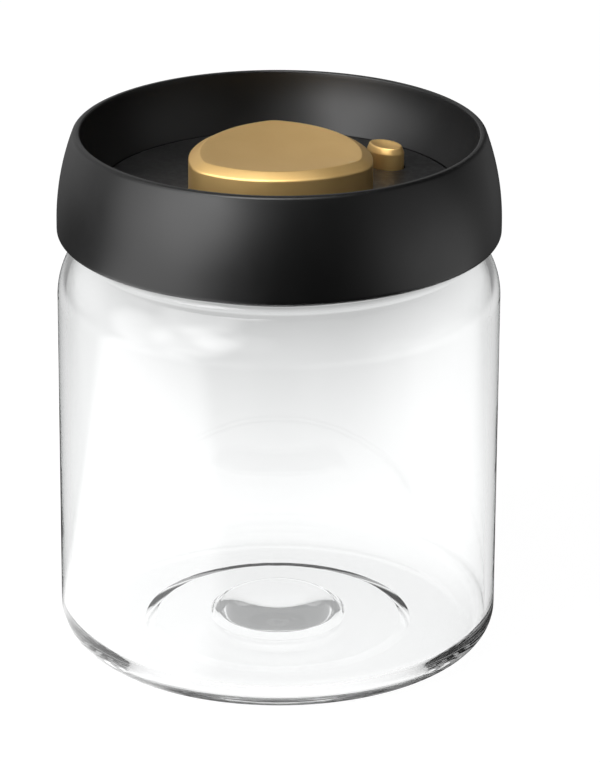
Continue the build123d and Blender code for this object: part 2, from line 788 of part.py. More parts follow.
nodes = [
    glass_jar,
    lid_ring,
    lid_deck,
    inner_lid,
    lid_gasket,
    pump_cylinder,
    cylinder_ring,
    intake_valve,
    intake_cover,
    lid_screws,
    cylinder_screws,
    pump_button,
    pump_piston,
    piston_seal,
    exhaust_valve,
    button_screw,
    pump_spring,
    release_button,
    release_stem,
    release_seal,
    release_spring,
]

os.makedirs("parts", exist_ok=True)
for node in nodes:
    export_step(node(), "parts/" + node.__name__ + ".step")
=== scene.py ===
"""Looks of a vacuum seal canister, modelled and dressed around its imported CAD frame.

The jar, the lid ring, both buttons, the gasket and the springs are modelled here and stand for
their CAD nodes. The other nodes keep their CAD shape and get a finish. Sizes are millimetres in
the canister's classes, and metres in the studio and in Blender.
"""

import logging
from collections.abc import Sequence
from dataclasses import dataclass, field
from enum import Enum
from math import acos, atan2, ceil, cos, hypot, inf, pi, radians, sin, sqrt, tan

import bmesh
import bpy
from mathutils import Matrix, Vector

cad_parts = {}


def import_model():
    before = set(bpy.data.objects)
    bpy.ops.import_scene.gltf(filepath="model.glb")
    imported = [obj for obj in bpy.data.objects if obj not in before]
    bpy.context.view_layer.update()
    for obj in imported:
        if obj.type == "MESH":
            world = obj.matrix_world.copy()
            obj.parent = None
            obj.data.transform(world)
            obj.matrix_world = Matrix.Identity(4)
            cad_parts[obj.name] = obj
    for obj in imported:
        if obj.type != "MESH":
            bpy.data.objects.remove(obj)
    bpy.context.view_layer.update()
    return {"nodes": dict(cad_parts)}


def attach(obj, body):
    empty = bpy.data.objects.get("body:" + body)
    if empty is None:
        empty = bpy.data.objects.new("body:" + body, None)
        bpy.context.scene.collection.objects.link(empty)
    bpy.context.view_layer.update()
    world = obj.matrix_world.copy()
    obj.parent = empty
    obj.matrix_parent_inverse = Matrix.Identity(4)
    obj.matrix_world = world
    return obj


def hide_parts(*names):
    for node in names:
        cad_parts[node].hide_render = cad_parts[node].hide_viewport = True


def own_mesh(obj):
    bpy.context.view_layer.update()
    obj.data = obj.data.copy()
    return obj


log = logging.getLogger("canister")

Piece = bpy.types.Object
Node = bpy.types.Node
Socket = bpy.types.NodeSocket
Tree = bpy.types.NodeTree
Triple = tuple[float, float, float]

MM = 0.001
TURN = 2 * pi
THIRD, SIXTH = 120.0, 60.0  # parts of a turn, in degrees
FULL = inf  # bend of a corner that is rounded as far as its runs allow
FLATNESS = 0.004 * MM
WIDEST_CHORD = 0.5  # cosine of half the angle that the widest chord spans
MERGE = 0.001 * MM
ROUND_STEPS = 256
HOLE_STEPS = 48
WIRE_STEPS = 14
COIL_STEPS = 40
DOWNWARD = -0.9  # a face whose normal's height is below this looks down
SMOOTH_ANGLE = radians(28)


class Slot(Enum):
    """Material slots of the record."""

    GLASS = "jar_glass"
    RING = "ring_black"
    DECK = "deck_black"
    INNER = "inner_black"
    WHITE = "pump_white"
    SILICONE = "silicone"
    GOLD = "gold"
    STEEL = "steel"


class Body(Enum):
    """CAD bodies that pieces ride on."""

    JAR = "jar"
    LID = "lid"
    PUMP = "pump"
    RELEASE = "release"


# Drawing and turning


@dataclass(frozen=True)
class Corner:
    """A corner of a drawn line, in millimetres, with the radius that rounds it."""

    x: float
    y: float
    bend: float = 0.0


@dataclass(frozen=True)
class Stroke:
    """One step of a drawn line: straight to a point, then an arc about a centre.

    The angle is positive where the line turns left.
    """

    to: tuple[float, float]
    centre: tuple[float, float] = (0.0, 0.0)
    angle: float = 0.0
    radius: float = 0.0


def arc_steps(radius: float, angle: float) -> int:
    """Number of chords that keep an arc within the flatness.

    Args:
        radius: Radius of the arc, in metres.
        angle: Angle of the arc, in radians.

    Returns:
        The number of chords, at least 2.
    """
    step = 2 * acos(max(WIDEST_CHORD, 1 - FLATNESS / radius))
    return max(2, ceil(abs(angle) / step))


def strokes_through(corners: Sequence[Corner]) -> list[Stroke]:
    """Works out the straight runs and arcs of a line with rounded corners.

    Args:
        corners: The line's corners in order. The first and last aren't rounded.

    Returns:
        The strokes, from the second corner on.
    """
    points = [Vector((c.x, c.y)) for c in corners]
    runs = [(b - a).length for a, b in zip(points, points[1:])]
    turns = [0.0]
    for before, here, after in zip(points, points[1:], points[2:]):
        come, go = (here - before).normalized(), (after - here).normalized()
        turns.append(atan2(come.x * go.y - come.y * go.x, come.dot(go)))
    turns.append(0.0)
    stated = [0.0 if c.bend == FULL else c.bend * tan(abs(t) / 2) for c, t in zip(corners, turns)]
    strokes = []
    for i in range(1, len(corners)):
        here = points[i]
        if i == len(corners) - 1 or corners[i].bend == 0:
            strokes.append(Stroke(tuple(here)))
            continue
        reach = stated[i]
        if corners[i].bend == FULL:
            room_before = runs[i - 1] / 2 if corners[i - 1].bend == FULL else runs[i - 1] - stated[i - 1]
            room_after = runs[i] / 2 if corners[i + 1].bend == FULL else runs[i] - stated[i + 1]
            reach = min(room_before, room_after)
        radius = reach / tan(abs(turns[i]) / 2)
        come = (here - points[i - 1]).normalized()
        start = here - come * reach
        left = Vector((-come.y, come.x)) * (1 if turns[i] > 0 else -1)
        strokes.append(Stroke(tuple(start), tuple(start + left * radius), turns[i], radius))
    return strokes


def clear_selection() -> None:
    """Deselects everything, because the CAD nodes are selected once they are loaded."""
    if bpy.context.object and bpy.context.object.mode != "OBJECT":
        bpy.ops.object.mode_set(mode="OBJECT")
    bpy.ops.object.select_all(action="DESELECT")


def choose_piece(piece: Piece) -> None:
    """Selects a piece alone and makes it the active one.

    Args:
        piece: The piece.
    """
    clear_selection()
    piece.select_set(True)
    bpy.context.view_layer.objects.active = piece


def name_piece(piece: Piece, name: str) -> None:
    """Gives a piece and its mesh a name."""
    piece.name = name
    piece.data.name = name


def choose_underside(level: float) -> None:
    """Selects the faces at a level that look down, and nothing else, in edit mode.

    Args:
        level: Height of the faces.
    """
    bpy.ops.mesh.select_mode(type="FACE")
    bpy.ops.mesh.select_all(action="DESELECT")
    mesh = bpy.context.edit_object.data
    for face in bmesh.from_edit_mesh(mesh).faces:
        if face.normal.z < DOWNWARD and abs(face.calc_center_median().z - level * MM) < MERGE:
            face.select_set(True)
    bmesh.update_edit_mesh(mesh)


def merge_doubles(threshold: float = MERGE) -> None:
    """Merges the vertices that lie together and leaves everything selected.

    Args:
        threshold: How near they lie, in metres.
    """
    bpy.ops.mesh.select_all(action="SELECT")
    bpy.ops.mesh.remove_doubles(threshold=threshold)
    bpy.ops.mesh.select_all(action="SELECT")


def extrude(rise: float, out: float = 0.0) -> None:
    """Extrudes what is selected upwards, and outwards along X, by millimetres."""
    bpy.ops.mesh.extrude_region_move(TRANSFORM_OT_translate={"value": (out * MM, 0, rise * MM)})


def draw_in(share: float, middle: Sequence[float]) -> None:
    """Extrudes the selected face in its own plane, to a share of its size about a point."""
    extrude(0)
    bpy.ops.transform.resize(value=(share, share, 1), center_override=middle)


def start_point(name: str, place: Vector) -> Piece:
    """Adds a mesh of one vertex and leaves it selected in edit mode.

    Args:
        name: Name of the new object.
        place: Where the vertex goes, in metres.

    Returns:
        The new object, at the origin.
    """
    clear_selection()
    bpy.ops.mesh.primitive_plane_add(size=MM, location=place)
    piece = bpy.context.object
    name_piece(piece, name)
    bpy.ops.object.transform_apply(location=True)
    bpy.ops.object.mode_set(mode="EDIT")
    bpy.ops.mesh.select_mode(type="VERT")
    bpy.ops.mesh.select_all(action="SELECT")
    bpy.ops.mesh.merge(type="CENTER")
    return piece


def draw(corners: Sequence[Corner]) -> None:
    """Draws on from the selected vertex through the corners, in the plane of the axis.

    Args:
        corners: Distance from the axis and height of each corner. The vertex is at the first.
    """
    at = Vector((corners[0].x, corners[0].y))
    for stroke in strokes_through(corners):
        way = Vector(stroke.to) - at
        if way.length * MM > MERGE:
            extrude(way.y, way.x)
        at = Vector(stroke.to)
        if not stroke.angle:
            continue
        centre = Vector(stroke.centre)
        bpy.ops.mesh.spin(
            steps=arc_steps(stroke.radius * MM, stroke.angle),
            angle=stroke.angle,
            center=(centre.x * MM, 0, centre.y * MM),
            axis=(0, 1, 0),
        )
        at = centre + Matrix.Rotation(stroke.angle, 2) @ (at - centre)


def close_up(piece: Piece) -> None:
    """Merges doubles, points the faces outwards, smooths gentle edges and leaves edit mode.

    Args:
        piece: The piece, in edit mode.
    """
    merge_doubles()
    bpy.ops.mesh.normals_make_consistent(inside=False)
    bpy.ops.object.mode_set(mode="OBJECT")
    choose_piece(piece)
    bpy.ops.object.shade_smooth_by_angle(angle=SMOOTH_ANGLE)


def turn_section(name: str, corners: Sequence[Corner]) -> Piece:
    """Draws a section and turns it round the canister's axis.

    Args:
        name: Name of the piece.
        corners: The section's corners. A ring's last corner is its first again.

    Returns:
        The turned piece.
    """
    first = corners[0]
    piece = start_point(name, Vector((first.x * MM, 0, first.y * MM)))
    draw(corners)
    merge_doubles()
    bpy.ops.mesh.spin(steps=ROUND_STEPS, angle=TURN, center=(0, 0, 0), axis=(0, 0, 1))
    close_up(piece)
    return piece


def cut_holes(piece: Piece, cutters: Sequence[Piece]) -> None:
    """Cuts a piece with other meshes, which are used up.

    Args:
        piece: The piece that is cut.
        cutters: Closed meshes that are taken away from it.
    """
    for cutter in cutters:
        cut = piece.modifiers.new("cut", "BOOLEAN")
        cut.operation = "DIFFERENCE"
        cut.solver = "EXACT"
        cut.object = cutter
        choose_piece(piece)
        bpy.ops.object.modifier_apply(modifier=cut.name)
        bpy.data.objects.remove(cutter)
    bpy.ops.object.mode_set(mode="EDIT")
    close_up(piece)


@dataclass(frozen=True)
class Coil:
    """A coil spring that stands upright, in millimetres.

    The radius is that of the wire's centreline, and the wire is half its thickness.
    """

    name: str
    radius: float
    wire: float
    bottom: float
    top: float
    turns: int

    def wind(self, centre: tuple[float, float]) -> Piece:
        """Winds the spring.

        Args:
            centre: Where the spring's axis stands.

        Returns:
            The spring.
        """
        clear_selection()
        bpy.ops.mesh.primitive_circle_add(
            vertices=WIRE_STEPS,
            radius=self.wire * MM,
            location=(self.radius * MM, 0, (self.bottom + self.wire) * MM),
            rotation=(pi / 2, 0, 0),
        )
        piece = bpy.context.object
        name_piece(piece, self.name)
        bpy.ops.object.transform_apply(location=True, rotation=True)
        winding = piece.modifiers.new("winding", "SCREW")
        winding.steps = winding.render_steps = COIL_STEPS
        winding.iterations = self.turns
        winding.screw_offset = (self.top - self.bottom - 2 * self.wire) * MM / self.turns
        bpy.ops.object.modifier_apply(modifier=winding.name)
        bpy.ops.object.mode_set(mode="EDIT")
        bpy.ops.mesh.select_mode(type="EDGE")
        bpy.ops.mesh.select_all(action="DESELECT")
        bpy.ops.mesh.select_non_manifold()
        bpy.ops.mesh.fill_holes(sides=0)
        bpy.ops.mesh.select_all(action="SELECT")
        bpy.ops.transform.translate(value=(centre[0] * MM, centre[1] * MM, 0))
        close_up(piece)
        return piece


# Shader node groups and finishes


MIX_FACTOR, MIX_FIRST, MIX_SECOND, MIX_RESULT = 0, 6, 7, 2  # colour sockets of the Mix node


class Wiring:
    """Adds and joins nodes in one node tree."""

    def __init__(self, tree: Tree) -> None:
        """Keeps the tree that the nodes go into."""
        self.tree = tree

    def add(self, kind: str, settings: dict | None = None, **inputs: object) -> Node:
        """Adds a node.

        Args:
            kind: The node's type.
            settings: Properties of the node.
            inputs: Values or output sockets for its input sockets, by name with _ for a space.

        Returns:
            The new node.
        """
        node = self.tree.nodes.new(kind)
        for key, value in (settings or {}).items():
            setattr(node, key, value)
        for key, value in inputs.items():
            self.feed(node.inputs[key.replace("_", " ")], value)
        return node

    def feed(self, socket: Socket, value: object) -> None:
        """Joins an output to a socket, or sets the socket to a value.

        Args:
            socket: The input socket.
            value: A value or an output socket.
        """
        if isinstance(value, Socket):
            self.tree.links.new(value, socket)
        else:
            socket.default_value = value

    def use(self, group: Tree, **inputs: object) -> Socket:
        """Adds a node group and gives its first output."""
        return self.add("ShaderNodeGroup", {"node_tree": group}, **inputs).outputs[0]

    def sum(self, operation: str, *values: object) -> Socket:
        """Adds a Math node and gives its result.

        Args:
            operation: Name of the operation.
            values: Its values or sockets, in order.

        Returns:
            The result's socket.
        """
        node = self.add("ShaderNodeMath", {"operation": operation})
        for socket, value in zip(node.inputs, values):
            self.feed(socket, value)
        return node.outputs[0]

    def spread(
        self, value: object, low: float, high: float, to_low: object = 0.0, to_high: object = 1.0
    ) -> Socket:
        """Maps a value smoothly from one range to another and gives the result.

        Args:
            value: The value.
            low: Start of its range.
            high: End of its range.
            to_low: Result up to the start.
            to_high: Result from the end on.

        Returns:
            The result's socket.
        """
        ends = {"From Min": low, "From Max": high, "To Min": to_low, "To Max": to_high}
        settings = {"interpolation_type": "SMOOTHSTEP"}
        return self.add("ShaderNodeMapRange", settings, Value=value, **ends).outputs["Result"]

    def noise(self, vector: object, scale: object, detail: float) -> Socket:
        """Adds noise of a scale per metre and gives its value."""
        return self.add("ShaderNodeTexNoise", Vector=vector, Scale=scale, Detail=detail).outputs["Fac"]

    def blend(self, factor: object, first: object, second: object) -> Socket:
        """Mixes two colours and gives the result.

        Args:
            factor: Share of the second.
            first: First colour.
            second: Second colour.

        Returns:
            The result's socket.
        """
        node = self.tree.nodes.new("ShaderNodeMix")
        node.data_type = "RGBA"
        for socket, value in ((MIX_FACTOR, factor), (MIX_FIRST, first), (MIX_SECOND, second)):
            self.feed(node.inputs[socket], value)
        return node.outputs[MIX_RESULT]

    def emboss(self, shader: Node, height: object, depth: float) -> None:
        """Bumps a shader by a height of a depth in millimetres."""
        bump = self.add("ShaderNodeBump", Height=height, Strength=1.0, Distance=depth * MM)
        self.feed(shader.inputs["Normal"], bump.outputs["Normal"])

    def by_ray(self, rest: object, glossy: object, through: object, seen: object) -> Socket:
        """Gives reflections, looks through glass and direct looks a shader of their own.

        Args:
            rest: Shader for all other rays.
            glossy: Shader for reflections.
            through: Shader for looks through glass.
            seen: Shader for direct looks.

        Returns:
            The mixed shader's socket.
        """
        rays = self.add("ShaderNodeLightPath").outputs
        kinds = (("Is Glossy Ray", glossy), ("Is Transmission Ray", through), ("Is Camera Ray", seen))
        for ray, shader in kinds:
            mix = self.add("ShaderNodeMixShader", Fac=rays[ray])
            self.feed(mix.inputs[1], rest)
            self.feed(mix.inputs[2], shader)
            rest = mix.outputs[0]
        return rest


def new_material(name: str) -> tuple[bpy.types.Material, Wiring, Node]:
    """Starts a material and gives it with its wiring and its shader.

    Args:
        name: Name of the material.

    Returns:
        The material, its wiring and its shader.
    """
    material = bpy.data.materials.new(name)
    material.use_nodes = True
    return material, Wiring(material.node_tree), material.node_tree.nodes["Principled BSDF"]


def new_group(name: str, amounts: Sequence[str], result: str) -> tuple[Wiring, object, Socket]:
    """Starts a shader node group that takes a vector and amounts and gives one value.

    Args:
        name: Name of the group.
        amounts: Names of the amounts that it takes.
        result: Name of the value that it gives.

    Returns:
        The group's wiring, its inputs by name, and the socket that takes its result.
    """
    tree = bpy.data.node_groups.new(name, "ShaderNodeTree")
    tree.interface.new_socket(name="Vector", in_out="INPUT", socket_type="NodeSocketVector")
    for amount in amounts:
        tree.interface.new_socket(name=amount, in_out="INPUT", socket_type="NodeSocketFloat")
    tree.interface.new_socket(name=result, in_out="OUTPUT", socket_type="NodeSocketFloat")
    come = tree.nodes.new("NodeGroupInput").outputs
    return Wiring(tree), come, tree.nodes.new("NodeGroupOutput").inputs[result]


class Effects:
    """The shader node groups that the finishes share.

    A pitch is a noise scale per metre, a detail its number of octaves, and a noise both of them.
    A range is the part of a value that is spread from nothing to all.
    """

    FINE_DETAIL = 3.0
    COARSE_PITCH = 0.31  # share of the fine pitch
    COARSE_DETAIL = 2.0
    CLOUD_DETAIL = 4.0
    CLOUD_RANGE = (0.3, 0.7)
    EDGE_RANGE = (0.52, 0.62)
    BREAK_NOISE = (700.0, 3.0)
    BREAK_RANGE = (0.4, 0.65)
    BREAK_LEAST = 0.2
    UPWARD_RANGE = (0.5, 1.0)
    SPECK_NOISE = (900.0, 5.0)
    SPECK_RANGE = (0.55, 0.8)

    def __init__(self) -> None:
        """Builds each group once."""
        self.grain = self._grain()
        self.handling = self._handling()
        self.wear_and_highlight = self._wear_and_highlight()
        self.dust = self._dust()

    def _grain(self) -> Tree:
        """Fine moulded or blasted grain: a height from two sizes of noise.

        Returns:
            The group.
        """
        wiring, come, result = new_group("surface_grain", ("Pitch", "Soft"), "Height")
        coarse_pitch = wiring.sum("MULTIPLY", come["Pitch"], self.COARSE_PITCH)
        fine = wiring.noise(come["Vector"], come["Pitch"], self.FINE_DETAIL)
        coarse = wiring.noise(come["Vector"], coarse_pitch, self.COARSE_DETAIL)
        soft_part = wiring.sum("MULTIPLY", coarse, come["Soft"])
        wiring.feed(result, wiring.sum("ADD", fine, soft_part))
        return wiring.tree

    def _handling(self) -> Tree:
        """Slow unevenness of a surface that has been made and handled, from -1 to 1.

        Returns:
            The group.
        """
        wiring, come, result = new_group("handling", ("Size",), "Value")
        pitch = wiring.sum("DIVIDE", 1.0, come["Size"])
        cloud = wiring.noise(come["Vector"], pitch, self.CLOUD_DETAIL)
        wiring.feed(result, wiring.spread(cloud, *self.CLOUD_RANGE, to_low=-1.0))
        return wiring.tree

    def _wear_and_highlight(self) -> Tree:
        """Mask of the edges that hands and cloths polish first, which also carries a painted edge highlight.

        Returns:
            The group.
        """
        wiring, come, result = new_group("edge_wear_and_highlight", ("Amount",), "Mask")
        edge = wiring.spread(wiring.add("ShaderNodeNewGeometry").outputs["Pointiness"], *self.EDGE_RANGE)
        patches = wiring.noise(come["Vector"], *self.BREAK_NOISE)
        broken = wiring.spread(patches, *self.BREAK_RANGE, to_low=self.BREAK_LEAST)
        both = wiring.sum("MULTIPLY", edge, broken)
        wiring.feed(result, wiring.sum("MULTIPLY", both, come["Amount"]))
        return wiring.tree

    def _dust(self) -> Tree:
        """Mask of the little dust that lies on faces that look up.

        Returns:
            The group.
        """
        wiring, come, result = new_group("settled_dust", ("Amount",), "Mask")
        normal = wiring.add("ShaderNodeNewGeometry").outputs["Normal"]
        up = wiring.add("ShaderNodeSeparateXYZ", Vector=normal).outputs["Z"]
        facing = wiring.spread(up, *self.UPWARD_RANGE)
        motes = wiring.noise(come["Vector"], *self.SPECK_NOISE)
        specks = wiring.spread(motes, *self.SPECK_RANGE)
        both = wiring.sum("MULTIPLY", facing, specks)
        wiring.feed(result, wiring.sum("MULTIPLY", both, come["Amount"]))
        return wiring.tree


@dataclass(frozen=True)
class Finish:
    """A solid finish: its colour, gloss, grain, edge wear that also paints an edge highlight, and dust."""

    name: str
    colour: Triple
    roughness: float
    second_colour: Triple
    roughness_spread: float = 0.04
    grain_pitch: float = 2500.0
    grain_depth: float = 0.004
    grain_soft: float = 0.6
    # Edge wear and its colour: partly real wear, partly a painted highlight on convex edges.
    wear_and_highlight: float = 0.5
    wear_and_highlight_colour: Triple = (0.03, 0.03, 0.03)
    dust: float = 0.04
    cloud_size: float = 0.012
    metallic: float = 0.0
    dust_colour: Triple = (0.35, 0.34, 0.32)
    wear_polish: float = -0.12
    dust_roughness: float = 0.3
    sockets: dict[str, object] = field(default_factory=dict)

    def make(self, effects: Effects) -> bpy.types.Material:
        """Builds the material.

        Args:
            effects: The shared node groups.

        Returns:
            The material.
        """
        material, wiring, shader = new_material(self.name)
        place = wiring.add("ShaderNodeTexCoord").outputs["Object"]
        cloud = wiring.use(effects.handling, Vector=place, Size=self.cloud_size)
        worn_and_lit = wiring.use(effects.wear_and_highlight, Vector=place, Amount=self.wear_and_highlight)
        dusty = wiring.use(effects.dust, Vector=place, Amount=self.dust)
        tone = wiring.blend(wiring.spread(cloud, -1, 1), (*self.colour, 1), (*self.second_colour, 1))
        # Convex edges take the lighter worn colour: partly wear, partly a painted edge highlight.
        rubbed_and_lit = wiring.blend(worn_and_lit, tone, (*self.wear_and_highlight_colour, 1))
        wiring.feed(shader.inputs["Base Color"], wiring.blend(dusty, rubbed_and_lit, (*self.dust_colour, 1)))
        uneven = wiring.sum("MULTIPLY_ADD", cloud, self.roughness_spread, self.roughness)
        polished = wiring.sum("MULTIPLY_ADD", worn_and_lit, self.wear_polish, uneven)
        dulled = wiring.sum("MULTIPLY_ADD", dusty, self.dust_roughness, polished)
        wiring.feed(shader.inputs["Roughness"], dulled)
        height = wiring.use(effects.grain, Vector=place, Pitch=self.grain_pitch, Soft=self.grain_soft)
        wiring.emboss(shader, height, self.grain_depth)
        shader.inputs["Metallic"].default_value = self.metallic
        for label, value in self.sockets.items():
            shader.inputs[label].default_value = value
        return material


@dataclass(frozen=True)
class ClearGlass:
    """Clear pressed glass with painted shade: direct looks see its grazing faces tinted darker, standing in
    for the dark edge lines of thick glass.
    """

    name: str = "clear_glass"
    colour: Triple = (0.985, 0.99, 0.99)
    painted_edge_shade: Triple = (0.72, 0.75, 0.75)
    ior: float = 1.5
    facing_blend: float = 0.5
    grazing_start: float = 0.75
    wave_pitch: float = 60.0
    wave_depth: float = 0.02

    def make(self, effects: Effects) -> bpy.types.Material:
        """Builds the material.

        Args:
            effects: The shared node groups.

        Returns:
            The material.
        """
        material, wiring, shader = new_material(self.name)
        shader.inputs["Roughness"].default_value = 0.0
        shader.inputs["IOR"].default_value = self.ior
        shader.inputs["Transmission Weight"].default_value = 1.0
        place = wiring.add("ShaderNodeTexCoord").outputs["Object"]
        facing = wiring.add("ShaderNodeLayerWeight", Blend=self.facing_blend).outputs["Facing"]
        grazing = wiring.spread(facing, self.grazing_start, 1.0)
        # Painted shade: grazing faces are tinted darker for direct looks only, in place of the dark edge
        # lines that thick glass shows.
        seen = wiring.add("ShaderNodeLightPath").outputs["Is Camera Ray"]
        edge = wiring.sum("MULTIPLY", grazing, seen)
        tint_with_edge_shade = wiring.blend(edge, (*self.colour, 1), (*self.painted_edge_shade, 1))
        wiring.feed(shader.inputs["Base Color"], tint_with_edge_shade)
        wave = wiring.use(effects.grain, Vector=place, Pitch=self.wave_pitch, Soft=1.0)
        wiring.emboss(shader, wave, self.wave_depth)
        return material


SATIN_BLACK = Finish(
    name="satin_black",
    colour=(0.003, 0.003, 0.0031),
    second_colour=(0.0038, 0.0038, 0.0039),
    roughness=0.38,
    roughness_spread=0.02,
    grain_depth=0.0025,
)
DECK_BLACK = Finish(
    name="deck_black",
    colour=(0.004, 0.004, 0.0042),
    second_colour=(0.0055, 0.0055, 0.0057),
    roughness=0.5,
    roughness_spread=0.03,
    grain_depth=0.0025,
    dust=0.06,
)
INNER_BLACK = Finish(
    name="inner_black",
    colour=(0.011, 0.011, 0.011),
    second_colour=(0.015, 0.015, 0.015),
    roughness=0.5,
    grain_pitch=1600.0,
    grain_depth=0.006,
)
SATIN_GOLD = Finish(
    name="satin_gold",
    colour=(0.86, 0.565, 0.215),
    second_colour=(0.88, 0.59, 0.235),
    roughness=0.45,
    roughness_spread=0.015,
    grain_pitch=6000.0,
    grain_depth=0.0008,
    grain_soft=0.3,
    wear_and_highlight=0.3,
    wear_and_highlight_colour=(0.86, 0.68, 0.38),
    dust=0.02,
    metallic=0.8,
)
PUMP_WHITE = Finish(
    name="pump_white",
    colour=(0.72, 0.72, 0.70),
    second_colour=(0.76, 0.76, 0.745),
    roughness=0.38,
    wear_and_highlight_colour=(0.82, 0.82, 0.80),
    sockets={"Subsurface Weight": 0.05, "Subsurface Radius": (0.002, 0.002, 0.0018), "Subsurface Scale": 1.0},
)
SILICONE = Finish(
    name="milky_silicone",
    colour=(0.62, 0.63, 0.62),
    second_colour=(0.68, 0.69, 0.68),
    roughness=0.34,
    grain_pitch=1200.0,
    wear_and_highlight=0.0,
    wear_and_highlight_colour=(0.68, 0.69, 0.68),
    dust=0.08,
    sockets={
        "IOR": 1.41,
        "Subsurface Weight": 0.35,
        "Subsurface Radius": (0.003, 0.003, 0.003),
        "Subsurface Scale": 1.0,
    },
)
DRAWN_STEEL = Finish(
    name="drawn_steel",
    colour=(0.55, 0.55, 0.54),
    second_colour=(0.62, 0.62, 0.61),
    roughness=0.26,
    roughness_spread=0.06,
    grain_pitch=4000.0,
    grain_depth=0.0015,
    wear_and_highlight=0.4,
    wear_and_highlight_colour=(0.75, 0.75, 0.74),
    dust=0.0,
    cloud_size=0.004,
    metallic=1.0,
)
FINISH_OF = {
    Slot.GLASS: ClearGlass(),
    Slot.RING: SATIN_BLACK,
    Slot.DECK: DECK_BLACK,
    Slot.INNER: INNER_BLACK,
    Slot.WHITE: PUMP_WHITE,
    Slot.SILICONE: SILICONE,
    Slot.GOLD: SATIN_GOLD,
    Slot.STEEL: DRAWN_STEEL,
}


class Wardrobe:
    """Gives every piece its finish, and every new piece its body and slot."""

    def __init__(self, nodes: dict[str, Piece]) -> None:
        """Makes the finishes.

        Args:
            nodes: The CAD nodes by name.
        """
        effects = Effects()
        self.nodes = nodes
        self.materials = {slot: finish.make(effects) for slot, finish in FINISH_OF.items()}

    def dress(self, piece: Piece, slot: Slot) -> None:
        """Puts a finish on a piece."""
        piece.data.materials.clear()
        piece.data.materials.append(self.materials[slot])

    def stand_for(self, piece: Piece, node: str, body: Body, slot: Slot) -> None:
        """Puts a new piece in a CAD node's place.

        Args:
            piece: The new piece.
            node: The CAD node that it stands for.
            body: The body that it rides on.
            slot: Its material slot.
        """
        self.dress(piece, slot)
        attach(piece, body.value)
        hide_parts(node)
        log.info("%s stands for %s, %d faces", piece.name, node, len(piece.data.polygons))

    def keep(self, **slots: Slot) -> None:
        """Keeps the shape of each CAD node that is named and gives it a finish.

        Args:
            slots: Material slot of each node, by its name.
        """
        for node, slot in slots.items():
            self.dress(self.nodes[node], slot)
            log.info("%s keeps its CAD shape", node)


# The canister's sub-assemblies


@dataclass
class Jar:
    """Clear glass jar with a recessed foot, a domed floor, a round shoulder and a short neck."""

    radius: float = 52.5
    wall: float = 2.0
    height: float = 106.9
    neck: float = 47.4
    shoulder_bend: float = 18.0
    shoulder_corner: float = 93.17
    neck_corner: float = 98.87
    neck_bend: float = 2.0
    slope_half: float = 20.9
    foot_bend: float = 7.5
    heel_bend: float = 6.0
    floor: float = 3.3
    recess: tuple[Corner, ...] = (
        Corner(0, 2.8),
        Corner(12.8, 2.8, 1.5),
        Corner(16.0, 1.2, 1.0),
        Corner(29.4, 0.9, 0.8),
        Corner(32.2, 0, 0.5),
    )
    dome: tuple[Corner, ...] = (
        Corner(32.2, 3.3, 20.0),
        Corner(15.7, 5.0, 2.0),
        Corner(11.1, 8.4, 14.0),
        Corner(0, 8.4),
    )

    def section(self) -> list[Corner]:
        """Section of the glass, from the axis out, up and back in.

        Returns:
            Its corners.
        """
        drop = self.wall * tan(radians(self.slope_half))
        inside, bore = self.radius - self.wall, self.neck - self.wall
        rim = self.wall / 2
        return [
            *self.recess,
            Corner(self.radius, 0, self.foot_bend),
            Corner(self.radius, self.shoulder_corner, self.shoulder_bend),
            Corner(self.neck, self.neck_corner, self.neck_bend),
            Corner(self.neck, self.height, rim),
            Corner(bore, self.height, rim),
            Corner(bore, self.neck_corner - drop, self.neck_bend + self.wall),
            Corner(inside, self.shoulder_corner - drop, self.shoulder_bend - self.wall),
            Corner(inside, self.floor, self.heel_bend),
            *self.dome,
        ]

    def build(self, wardrobe: Wardrobe) -> None:
        """Turns the jar and puts it in place."""
        wardrobe.stand_for(turn_section("jar", self.section()), "glass_jar", Body.JAR, Slot.GLASS)


